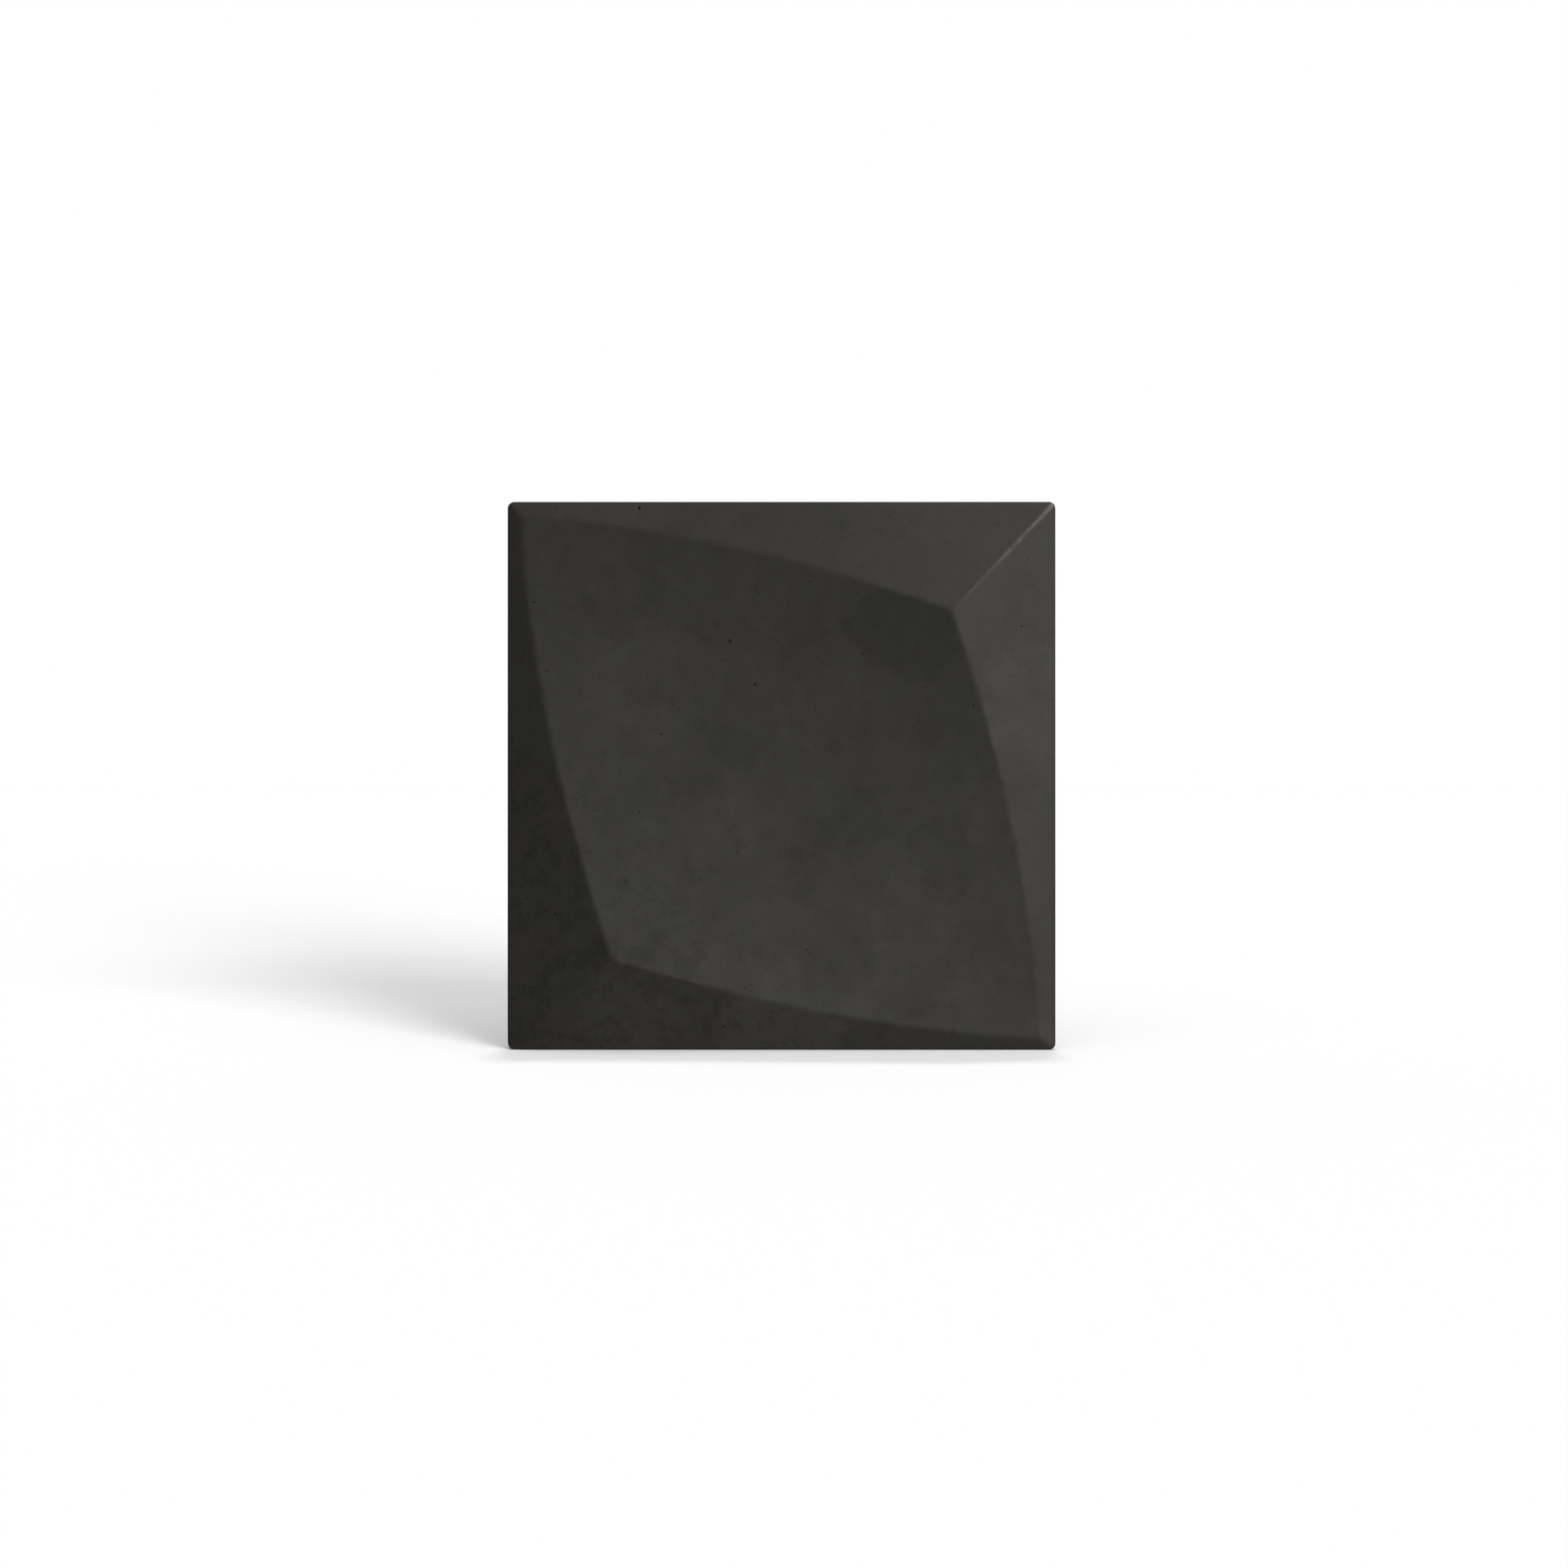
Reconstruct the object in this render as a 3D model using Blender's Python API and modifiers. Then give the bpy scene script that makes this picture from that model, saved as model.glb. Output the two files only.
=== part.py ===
"""Relief wall tile: a square tile cast in two layers, with a glass-fibre net pressed into its back.

The tile stands on its bottom edge. +X is right, +Z is up, and the relief faces -Y.
The origin is the centre of the bottom edge face. All lengths are in metres.
"""

import math

import bmesh
import bpy
from mathutils import Matrix, Vector

# Outline of the tile.
TILE_WIDTH = 0.200
TILE_HEIGHT = 0.200
EDGE_THICKNESS = 0.016
CORNER_RADIUS = 0.0025
ARRIS_ROUNDING = 0.0010

# Relief. Each border is a plane that rises inwards from its edge by its slope.
TOP_SLOPE = 0.36
RIGHT_SLOPE = 0.38
LEFT_SLOPE = 0.405
BOTTOM_SLOPE = 0.465
# The borders are cut by one round trough, which runs from the top left to the bottom right corner.
TROUGH_RADIUS = 0.308
TROUGH_FLOOR = 0.0028
CREASE_ROUNDING = 0.0016

# The cast layers: a fine dyed face that turns back round the edges, and a coarser backing inside it.
FACE_THICKNESS = 0.005
LAYER_GAP = 0.0003

# Net of glass-fibre yarns, bonded where they cross and pressed into the back.
YARN_PITCH = 0.0175
YARN_WIDTH = 0.0018
YARN_THICKNESS = 0.0009
YARN_COVER = 0.0003
YARN_STEP = 0.0004
NET_MARGIN = 0.005

# How finely the round shapes are divided.
TROUGH_FACET = 0.010
CORNER_SEGMENTS = 6
ROUNDING_SEGMENTS = 3
ROUND_PROFILE = 0.5

# An edge this sharp is a crease of the relief, and one this much sharper is an arris of the outline.
CREASE_ANGLE = math.radians(12)
ARRIS_ANGLE = math.radians(40)

# How far a cutter runs past what it cuts.
OVERCUT = 0.002

BACK_Y = EDGE_THICKNESS / 2
TILE_CENTRE = Vector((0, 0, TILE_HEIGHT / 2))
FORWARD = Vector((0, -1, 0))

# Each border: the direction from the tile's centre to its edge, how far off the edge is, and its slope.
BORDERS = (
    (Vector((0, 0, 1)), TILE_HEIGHT / 2, TOP_SLOPE),
    (Vector((1, 0, 0)), TILE_WIDTH / 2, RIGHT_SLOPE),
    (Vector((-1, 0, 0)), TILE_WIDTH / 2, LEFT_SLOPE),
    (Vector((0, 0, -1)), TILE_HEIGHT / 2, BOTTOM_SLOPE),
)


def clear_scene():
    for leftover in list(bpy.data.objects):
        bpy.data.objects.remove(leftover, do_unlink=True)


def new_collection(name):
    collection = bpy.data.collections.new(name)
    bpy.context.scene.collection.children.link(collection)
    return collection


def new_material(name, colour, roughness):
    material = bpy.data.materials.new(name)
    material.use_nodes = True
    shader = material.node_tree.nodes["Principled BSDF"]
    shader.inputs["Base Color"].default_value = (*colour, 1)
    shader.inputs["Roughness"].default_value = roughness
    shader.inputs["Metallic"].default_value = 0
    material.diffuse_color = (*colour, 1)
    return material


def faces_forward(direction):
    return direction.normalized().dot(FORWARD) > math.cos(math.radians(60))


def runs_through(edge):
    """True if the edge runs through the tile's thickness."""
    first, second = (corner.co for corner in edge.verts)
    return faces_forward(first - second) or faces_forward(second - first)


def new_object(name, shape, collection):
    """Turns a bmesh into an object of this collection, and frees the bmesh."""
    bmesh.ops.recalc_face_normals(shape, faces=shape.faces)
    mesh = bpy.data.meshes.new(name)
    shape.to_mesh(mesh)
    shape.free()
    made = bpy.data.objects.new(name, mesh)
    collection.objects.link(made)
    return made


def as_cutter(shape_object):
    shape_object.hide_render = True
    shape_object.display_type = "WIRE"
    return shape_object


def add_boolean(target, operation, cutter):
    boolean = target.modifiers.new(cutter.name, "BOOLEAN")
    boolean.operation = operation
    boolean.solver = "EXACT"
    boolean.object = cutter


def apply_modifiers(target):
    """Replaces the object's mesh by the mesh that its modifiers make."""
    bpy.context.view_layer.update()
    graph = bpy.context.evaluated_depsgraph_get()
    made = bpy.data.meshes.new_from_object(target.evaluated_get(graph))
    target.modifiers.clear()
    target.data = made


def add_box(shape, low, high):
    """Adds a box between two corners to a bmesh."""
    size = [top - bottom for bottom, top in zip(low, high)]
    middle = [(bottom + top) / 2 for bottom, top in zip(low, high)]
    place = Matrix.Translation(middle) @ Matrix.Diagonal((*size, 1))
    return bmesh.ops.create_cube(shape, size=1, matrix=place)["verts"]


def cut_away(shape, point, normal):
    """Cuts a closed bmesh by a plane, drops what lies on the normal's side, and closes the cut."""
    geometry = shape.verts[:] + shape.edges[:] + shape.faces[:]
    cut = bmesh.ops.bisect_plane(
        shape, geom=geometry, plane_co=point, plane_no=normal, clear_outer=True
    )
    outline = [item for item in cut["geom_cut"] if isinstance(item, bmesh.types.BMEdge)]
    bmesh.ops.edgeloop_fill(shape, edges=outline)


def hipped_block(inset, drop, back_y):
    """A block with the four sloping borders, its sides moved in by inset and its borders back by drop."""
    half_width = TILE_WIDTH / 2 - inset
    steepest = max(slope for _, _, slope in BORDERS)
    tallest = EDGE_THICKNESS + steepest * max(TILE_WIDTH, TILE_HEIGHT)
    shape = bmesh.new()
    low = (-half_width, BACK_Y - tallest, inset)
    high = (half_width, back_y, TILE_HEIGHT - inset)
    add_box(shape, low, high)
    for outwards, reach, slope in BORDERS:
        rim = TILE_CENTRE + outwards * reach + FORWARD * (EDGE_THICKNESS - BACK_Y - drop)
        cut_away(shape, rim, FORWARD + outwards * slope)
    return shape


def trough_cutter(name, drop, collection):
    """The round bar that leaves the trough, lying along the diagonal and moved back by drop."""
    length = TILE_WIDTH + TILE_HEIGHT
    sides = 2 * round(math.pi * TROUGH_RADIUS / TROUGH_FACET)
    shape = bmesh.new()
    bmesh.ops.create_cone(
        shape,
        cap_ends=True,
        segments=sides,
        radius1=TROUGH_RADIUS,
        radius2=TROUGH_RADIUS,
        depth=length,
    )
    lean = Matrix.Rotation(-math.atan2(TILE_WIDTH, TILE_HEIGHT), 4, "Y")
    axis_height = EDGE_THICKNESS - BACK_Y + TROUGH_FLOOR + TROUGH_RADIUS - drop
    bmesh.ops.transform(shape, matrix=lean, verts=shape.verts)
    bmesh.ops.translate(shape, vec=TILE_CENTRE + FORWARD * axis_height, verts=shape.verts)
    return as_cutter(new_object(name, shape, collection))


def relief_block(name, inset, drop, back_y, collection, cutters):
    """A hipped block with its trough cut by a Boolean."""
    block = new_object(name, hipped_block(inset, drop, back_y), collection)
    add_boolean(block, "DIFFERENCE", trough_cutter(f"{name}_trough", drop, cutters))
    return block


def round_creases(target):
    """Rounds the ridges where the borders and the trough meet."""
    shape = bmesh.new()
    shape.from_mesh(target.data)
    # The rounding is as wide as its shortest edge allows, so ends this close become one.
    bmesh.ops.remove_doubles(shape, verts=shape.verts, dist=CREASE_ROUNDING)
    creases = [
        edge
        for edge in shape.edges
        if edge.calc_face_angle(0) > CREASE_ANGLE
        and all(faces_forward(face.normal) for face in edge.link_faces)
    ]
    bmesh.ops.bevel(
        shape,
        geom=creases,
        offset=CREASE_ROUNDING,
        segments=ROUNDING_SEGMENTS,
        profile=ROUND_PROFILE,
        affect="EDGES",
        clamp_overlap=True,
    )
    shape.to_mesh(target.data)
    shape.free()


def rounded_outline(cutters):
    """An upright prism with the tile's outline, its four corners rounded."""
    shape = bmesh.new()
    low = (-TILE_WIDTH / 2, -TILE_WIDTH, 0)
    high = (TILE_WIDTH / 2, BACK_Y, TILE_HEIGHT)
    add_box(shape, low, high)
    corners = [edge for edge in shape.edges if runs_through(edge)]
    bmesh.ops.bevel(
        shape,
        geom=corners,
        offset=CORNER_RADIUS,
        segments=CORNER_SEGMENTS,
        profile=ROUND_PROFILE,
        affect="EDGES",
    )
    return as_cutter(new_object("tile_outline", shape, cutters))


def make_face_layer(parts, cutters):
    face = relief_block("face_layer", -OVERCUT, 0, BACK_Y + OVERCUT, parts, cutters)
    apply_modifiers(face)
    round_creases(face)
    add_boolean(face, "INTERSECT", rounded_outline(cutters))
    arris = face.modifiers.new("arris", "BEVEL")
    arris.limit_method = "ANGLE"
    arris.angle_limit = ARRIS_ANGLE
    arris.width = ARRIS_ROUNDING
    arris.segments = ROUNDING_SEGMENTS
    arris.use_clamp_overlap = False
    cavity = relief_block(
        "backing_space", FACE_THICKNESS, FACE_THICKNESS, BACK_Y + OVERCUT, cutters, cutters
    )
    add_boolean(face, "DIFFERENCE", as_cutter(cavity))
    return face


def yarn_rows(name, upright, cover, clearance, collection):
    """Parallel yarns across the back, or with a clearance the grooves that they lie in."""
    margin = FACE_THICKNESS + LAYER_GAP + NET_MARGIN
    across, along = TILE_WIDTH / 2 - margin, TILE_HEIGHT / 2 - margin
    if not upright:
        across, along = along, across
    rows = 2 * math.floor((across - YARN_WIDTH / 2) / YARN_PITCH + 0.5)
    near = BACK_Y + OVERCUT if clearance else BACK_Y - cover
    deep = BACK_Y - cover - YARN_THICKNESS - clearance
    half_width = YARN_WIDTH / 2 + clearance
    half_length = along + clearance
    shape = bmesh.new()
    for row in range(rows):
        place = (row - (rows - 1) / 2) * YARN_PITCH
        low = (place - half_width, deep, -half_length)
        high = (place + half_width, near, half_length)
        yarn = add_box(shape, low, high)
        if not upright:
            bmesh.ops.rotate(shape, matrix=Matrix.Rotation(math.pi / 2, 3, "Y"), verts=yarn)
    bmesh.ops.translate(shape, vec=TILE_CENTRE, verts=shape.verts)
    return new_object(name, shape, collection)


def make_backing_layer(parts, cutters):
    drop = FACE_THICKNESS + LAYER_GAP
    backing = relief_block("backing_layer", drop, drop, BACK_Y, parts, cutters)
    for name, upright, cover in (
        ("upright_grooves", True, YARN_COVER + YARN_STEP),
        ("level_grooves", False, YARN_COVER),
    ):
        grooves = yarn_rows(name, upright, cover, LAYER_GAP, cutters)
        add_boolean(backing, "DIFFERENCE", as_cutter(grooves))
    return backing


def make_reinforcing_net(parts, cutters):
    net = yarn_rows("reinforcing_net", True, YARN_COVER + YARN_STEP, 0, parts)
    level = yarn_rows("level_yarns", False, YARN_COVER, 0, cutters)
    add_boolean(net, "UNION", as_cutter(level))
    return net


def main():
    clear_scene()
    parts = new_collection("relief_wall_tile")
    cutters = new_collection("cutters")
    face = make_face_layer(parts, cutters)
    face.data.materials.append(new_material("dyed_face_mix", (0.042, 0.040, 0.038), 0.72))
    backing = make_backing_layer(parts, cutters)
    backing.data.materials.append(new_material("backing_mix", (0.115, 0.110, 0.102), 0.90))
    net = make_reinforcing_net(parts, cutters)
    net.data.materials.append(new_material("glass_fibre_yarn", (0.74, 0.75, 0.70), 0.45))


main()
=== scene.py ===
"""Looks of the relief wall tile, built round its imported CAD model.

The tile stands on its bottom edge. +X is right, +Z is up, and the relief faces -Y. Lengths are in metres.
A place on the tile is given from the tile's centre: x to the right, and up.
"""

import math
import random

import bmesh
import bpy
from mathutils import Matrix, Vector, kdtree, noise


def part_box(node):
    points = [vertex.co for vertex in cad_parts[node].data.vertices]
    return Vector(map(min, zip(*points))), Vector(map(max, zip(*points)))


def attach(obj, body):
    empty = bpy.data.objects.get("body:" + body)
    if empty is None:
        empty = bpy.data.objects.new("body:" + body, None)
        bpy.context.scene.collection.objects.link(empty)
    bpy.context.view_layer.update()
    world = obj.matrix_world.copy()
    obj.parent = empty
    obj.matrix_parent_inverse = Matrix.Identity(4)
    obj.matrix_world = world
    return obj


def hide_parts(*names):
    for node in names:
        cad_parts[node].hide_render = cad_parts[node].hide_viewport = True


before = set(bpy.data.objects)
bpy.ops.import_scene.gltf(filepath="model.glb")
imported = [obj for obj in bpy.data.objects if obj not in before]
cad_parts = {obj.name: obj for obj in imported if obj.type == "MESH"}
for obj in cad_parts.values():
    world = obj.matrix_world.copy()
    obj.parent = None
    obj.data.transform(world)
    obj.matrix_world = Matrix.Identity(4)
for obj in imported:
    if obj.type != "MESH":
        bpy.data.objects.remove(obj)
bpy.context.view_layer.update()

# The CAD model's driving dimensions.
EDGE_THICKNESS = 0.016
CORNER_RADIUS = 0.0025
TOP_SLOPE = 0.36
RIGHT_SLOPE = 0.38
LEFT_SLOPE = 0.405
BOTTOM_SLOPE = 0.465
TROUGH_RADIUS = 0.308
TROUGH_FLOOR = 0.0028
FACE_THICKNESS = 0.005
LAYER_GAP = 0.0003
YARN_PITCH = 0.0175
YARN_ROWS = 10
YARN_WIDTH = 0.0018
YARN_THICKNESS = 0.0009
YARN_COVER = 0.0003
YARN_STEP = 0.0004

# Where the tile is, read from the imported CAD model.
face_low, face_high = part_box("face_layer")
net_low, net_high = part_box("reinforcing_net")
HALF_WIDTH = (face_high.x - face_low.x) / 2
HALF_HEIGHT = (face_high.z - face_low.z) / 2
CENTRE_Z = (face_high.z + face_low.z) / 2
BACK_Y = face_high.y
RIM_Y = BACK_Y - EDGE_THICKNESS
NET_HALF_LENGTH = (net_high.x - net_low.x) / 2

# Two surfaces are rounded into each other where their heights differ by less than this.
CREASE_BLEND = 0.0006
UPPER_HIP_BLEND = 0.0005
SOFT_HIP_BLEND = 0.0040

# The height at which the lower hip, soft at the tile's corner, would be as sharp as the creases.
HIP_TOP = 0.018

# Towards the tile's corners the trough runs out lower than the CAD model's, from this far along it.
TROUGH_END_START = 0.085
TROUGH_END_DROP = 0.0006

# Each use of the shapes' noise takes its own layer of it.
(
    CREASE_LAYER,
    WAVE_LAYER,
    UPRIGHT_GROOVE_LAYER,
    LEVEL_GROOVE_LAYER,
    BACK_LAYER,
    UPRIGHT_YARN_LAYER,
    LEVEL_YARN_LAYER,
) = range(1, 8)

# Unevenness of the cast surfaces: how much, and over what length.
WAVE_HEIGHT = 0.00006
WAVE_LENGTH = 0.028
CREASE_WANDER = 0.00012
CREASE_WANDER_LENGTH = 0.006
EDGE_WANDER = 0.00005
EDGE_WANDER_LENGTH = 0.011
EDGE_WANDER_DEPTH = 0.006
FLAT_BORDER_HEIGHT = 0.004

# The outline's rounded edges.
FRONT_ARRIS = 0.0011
BACK_ARRIS = 0.0009
ARRIS_SEGMENTS = 6
CORNER_SEGMENTS = 8
SIDE_RINGS = 6

# Points of a ring nearer to each other than this are one vertex.
SAME_PLACE = 0.00003

# The face's mesh is a grid of cells, divided again round its creases and air holes.
CORE_CELLS = 120
CREASE_GAP = 0.0011
CREASE_CUTS = 2
UPPER_HIP_GAP = 0.0004
UPPER_HIP_CUTS = 1
PIT_MARGINS_AND_CUTS = ((0.0012, 2), (0.0004, 2))

# Air holes that show on the face: x, up and width.
PINHOLES = (
    (-0.052, 0.0975, 0.0013),
    (-0.019, 0.049, 0.0010),
    (-0.010, 0.033, 0.0010),
    (0.010, 0.070, 0.0008),
    (0.029, 0.044, 0.0008),
    (-0.044, 0.015, 0.0008),
    (-0.040, 0.026, 0.0007),
    (0.069, 0.025, 0.0007),
    (0.087, 0.054, 0.0007),
    (-0.090, 0.063, 0.0007),
    (-0.082, -0.050, 0.0009),
    (-0.021, -0.091, 0.0009),
    (0.009, -0.063, 0.0007),
)
SMALL_PITS = 70
SMALL_PIT_WIDTHS = (0.0003, 0.0006)
PIT_DEPTH_SHARE = 0.45
PIT_SEED = 12

# The backing's back: its air holes, its unevenness, and the grooves that the yarns lie in.
BACKING_CLEARANCE = 0.00005
BACK_PITS = 60
BACK_PIT_WIDTHS = (0.0007, 0.0024)
BACK_WAVE_HEIGHT = 0.00028
BACK_WAVE_LENGTH = 0.016
GROOVE_HALF_WIDTH = 0.0012
GROOVE_LIP = 0.0004
LIP_WANDER = 0.0003
LIP_WANDER_LENGTH = 0.006
GROOVE_LINES = 9
LINES_BETWEEN_GROOVES = 5

# The net's yarns: strands twisted round each other, pressed flat.
YARN_SIDES = 12
YARN_RING_STEP = 0.0009
YARN_STRANDS = 3
YARN_TWIST_LENGTH = 0.0075
YARN_RIDGE = 0.16
YARN_SWAY = 0.00020
YARN_SWAY_LENGTH = 0.031

# The dyed concrete of the face.
FACE_LEVEL = 0.0405
FACE_ROUGHNESS = (0.60, 0.72)
FACE_ROUGHNESS_NOISE = (0.016, 5, 0.6)
FACE_SPECULAR = 0.35
# Bumps: how high, and how strong.
FACE_BUMP_NOISE = (0.0045, 3)
FACE_BUMP = (0.00004, 0.5)
GRAIN_BUMP = (0.00003, 0.35)

# Darker and paler patches on the face: x, up, radius and change of brightness.
TROUGH_PATCHES = (
    (0.045, 0.055, 0.020, -0.19),
    (-0.015, 0.010, 0.012, -0.11),
    (0.025, -0.020, 0.015, -0.13),
    (0.060, -0.030, 0.015, -0.13),
    (0.070, -0.010, 0.012, 0.08),
    (-0.060, 0.065, 0.016, -0.05),
    (-0.045, 0.035, 0.024, 0.11),
    (-0.020, -0.020, 0.015, 0.08),
    (0.045, -0.045, 0.020, 0.08),
)
BORDER_PATCHES = (
    (-0.085, -0.060, 0.028, 0.12),
    (0, -0.095, 0.026, 0.24),
    (-0.055, -0.090, 0.020, 0.16),
    (0.095, 0.025, 0.024, 0.12),
    (0.005, 0.090, 0.018, -0.09),
    (-0.060, 0.095, 0.020, 0.10),
)
PATCH_RAGGEDNESS = 0.020
RAGGED_DETAIL = 6
RAGGED_ROUGHNESS = 0.65
# A patch comes in between these shares of its radius.
PATCH_RIM = (1.1, 0.8)

# Small stains darken the face towards the bottom left, from the first of these distances from its centre
# and fully from the second.
STAIN_DISTANCES = (0.03, 0.08)
STAINED = (0.009, 7, 0.68, 0.51, 0.57)
STAIN_SHARE = -0.20

# The face's slow change of brightness, and its two tints. A pattern of soft noise is given by its length,
# detail and roughness, and by the noise where it starts and is full.
CLOUDY = (0.040, 4, 0.55, 0.38, 0.62)
CLOUDY_LEVELS = (0.97, 1.03)
TINTED = (0.030, 6, 0.65, 0.42, 0.60)
TINT_WARMTHS = (0.058, 0.048)

# The face's smaller patterns, each with its change of brightness.
FACE_PATTERNS = (
    # Dark and pale blotches.
    (0.022, 8, 0.66, 0.55, 0.60, -0.09),
    (0.018, 8, 0.68, 0.56, 0.62, 0.07),
    # Mottling.
    (0.005, 5, 0.65, 0.35, 0.65, 0.08),
    # Dark and pale specks.
    (0.0024, 3, 0.6, 0.63, 0.70, -0.22),
    (0.0030, 3, 0.6, 0.65, 0.72, 0.16),
)
GRAIN_LENGTH = 0.0006
GRAIN_SHARE = -0.12

# Painted shade: the face is darker at its edges and in its air holes. The brightness it goes to there, and
# how far.
EDGE_SHADE_LEVEL = FACE_LEVEL * 0.5
EDGE_SHADE_SHARE = 0.35
PIT_SHADE_LEVEL = 0.004
PIT_SHADE_SHARE = 0.9

# Mortar of the backing smeared over the back rim: how raggedly, between which depths, and how pale.
SMEAR_NOISE = (0.006, 5, 0.65)
SMEAR_RAGGEDNESS = 0.003
SMEAR_DEPTHS = (-0.0014, 0.0008)
SMEAR_LEVEL = 0.09
SMEAR_SHARE = 0.5

# A painted highlight along the ridge from the top right corner to the crease, where the light glints off
# it. It is palest and widest at the tile's corner.
HIGHLIGHT_LENGTH = 0.047
HIGHLIGHT_HALF_WIDTH = 0.0012
HIGHLIGHT_WOBBLE = 0.00018
HIGHLIGHT_WOBBLE_NOISE = (0.0014, 3)
HIGHLIGHT_NARROWING = 0.7
HIGHLIGHT_SOFTNESS = 0.8
HIGHLIGHT_PATCHY_NOISE = (0.0020, 4, 0.65)
HIGHLIGHT_PATCHY_RANGE = (0.35, 0.62)
HIGHLIGHT_LEAST = 0.45
HIGHLIGHT_EDGE_RANGE = (0.3, 0.8)
HIGHLIGHT_FADE_LENGTH = 0.006
HIGHLIGHT_END_SHARE = 0.30
HIGHLIGHT_CORNER_LENGTH = 0.009
HIGHLIGHT_PAST_CORNER = 0.60
HIGHLIGHT_LEVEL = 0.165

# Edges sharper than this stay sharp when the rest is shaded smooth.
SHARP_ANGLE = math.radians(50)

# The backing's sand and cement. A level is a linear brightness, and a share is how much of it shows.
BACKING_CLOUDY = (0.020, 6, 0.62, 0.38, 0.62)
BACKING_LEVELS = (0.095, 0.150)
TROWELLED = (0.006, 6, 0.7, 0.45, 0.60)
TROWELLED_LEVEL = 0.19
TROWELLED_SHARE = 0.35
SAND_NOISE = (0.0016, 4, 0.7)
PALE_GRAIN_RANGE = (0.57, 0.64)
PALE_GRAIN_LEVEL = 0.30
DARK_GRAIN_RANGE = (0.43, 0.36)
DARK_GRAIN_LEVEL = 0.045
GRAINS_SHARE = 0.6
# Painted shade inside the back's air holes: its brightness and how much of it shows.
BACK_PIT_SHADE_LEVEL = 0.03
BACK_PIT_SHADE_SHARE = 0.7
BACKING_ROUGHNESS = (0.82, 0.96)
BACKING_SPECULAR = 0.3
BACKING_BUMP_NOISE = (0.005, 5, 0.65)
BACKING_BUMP = (0.0008, 0.8)
SAND_BUMP = (0.0006, 0.9)

# The net's glass fibres, the painted shade in its yarns' valleys and the cement smeared over them.
FIBRE_NOISE = (0.0007, 3, 0.7)
FIBRE_COLOURS = ((0.60, 0.62, 0.57, 1), (0.84, 0.85, 0.80, 1))
FIBRE_BUMP = (0.0001, 0.6)
VALLEY_SHADE_LEVEL = 0.22
VALLEY_SHADE_SHARE = 0.55
YARN_SMEARS = (0.009, 5, 0.65, 0.52, 0.66)
YARN_SMEAR_LEVEL = 0.15
YARN_SMEAR_SHARE = 0.85
YARN_ROUGHNESS = (0.40, 0.85)

# How much warmer than neutral the greys are.
GREY_WARMTH = 0.05

# Nearly all of the materials' soft noise lies between these.
NOISE_RANGE = (0.3, 0.7)

# The floor, and the strength of the white behind everything, for the camera and for the tile and floor.
FLOOR_RADIUS = 40.0
FLOOR_SIDES = 96
FLOOR_LEVEL = 0.80
FLOOR_ROUGHNESS = 0.9
WORLD_WHITE = 1.0
WORLD_LIGHT = 0.16

# The tile's lights: name, azimuth, elevation, distance, shape, width, height and power.
SOFTBOXES = (
    ("key_softbox", 75, 50, 1.0, "DISK", 0.55, 0.55, 6.4),
    ("low_softbox", 30, -3, 1.0, "RECTANGLE", 0.45, 0.10, 4.4),
    ("left_rear_softbox", 232, 35, 1.2, "DISK", 0.8, 0.8, 10),
    ("right_rear_softbox", 130, 20, 1.4, "DISK", 0.6, 0.6, 5),
)

# The floor's lights: name, azimuth, elevation, width in degrees and strength. The first three together make
# one tall key light that leans to one side.
FLOOR_SUNS = (
    ("floor_key_high", 38, 25, 15, 1.1),
    ("floor_key_middle", 28, 18, 16, 1.65),
    ("floor_key_low", 23, 10, 14, 1.6),
    ("floor_dome", 10, 64, 70, 1.5),
    ("floor_top", 175, 81, 5, 0.84),
)
SUN_DISTANCE = 3
TILE_CENTRE = Vector((0, (RIM_Y + BACK_Y) / 2, CENTRE_Z))

# The camera looks level at the tile from a little right of its middle and a little below it.
CAMERA_LENS = 50
CAMERA_TO_RIM = 0.794
CAMERA_X = 0.0009
CAMERA_BELOW_CENTRE = 0.003


def smooth_min(first, second, reach):
    """The lower of two heights, rounded off where they differ by less than the reach."""
    overlap = max(reach - abs(first - second), 0)
    return min(first, second) - overlap * overlap / (4 * reach)


def smooth_step(value):
    """Rises smoothly from 0 to 1 as the value does."""
    value = min(max(value, 0), 1)
    return value * value * (3 - 2 * value)


def cloud(x, up, length, layer):
    """Smooth noise from -1 to 1, its humps about a length apart."""
    return noise.noise(Vector((x / length, layer * math.e, up / length)))


def border_heights(x, up):
    """Heights over the rim of the top, right, left and bottom borders' planes."""
    return (
        TOP_SLOPE * (HALF_HEIGHT - up),
        RIGHT_SLOPE * (HALF_WIDTH - x),
        LEFT_SLOPE * (HALF_WIDTH + x),
        BOTTOM_SLOPE * (HALF_HEIGHT + up),
    )


def trough_height(x, up):
    """Height over the rim of the round trough along the falling diagonal, a little lower at its ends."""
    half_diagonal = math.hypot(HALF_WIDTH, HALF_HEIGHT)
    across = (x * HALF_HEIGHT + up * HALF_WIDTH) / half_diagonal
    along = (x * HALF_WIDTH - up * HALF_HEIGHT) / half_diagonal
    at_end = smooth_step((abs(along) - TROUGH_END_START) / (half_diagonal - TROUGH_END_START))
    rise = TROUGH_RADIUS - math.sqrt(TROUGH_RADIUS**2 - across**2)
    return TROUGH_FLOOR - TROUGH_END_DROP * at_end + rise


def crease_gap(x, up):
    """How far the two lowest surfaces differ in height, which is nothing at a crease."""
    lowest, second = sorted((*border_heights(x, up), trough_height(x, up)))[:2]
    return second - lowest


def upper_hip_gap(x, up):
    """How far the top and right borders differ in height where they are lowest, and 1 in the trough."""
    top, right, *_ = border_heights(x, up)
    return abs(top - right) if trough_height(x, up) > min(top, right) else 1


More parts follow.
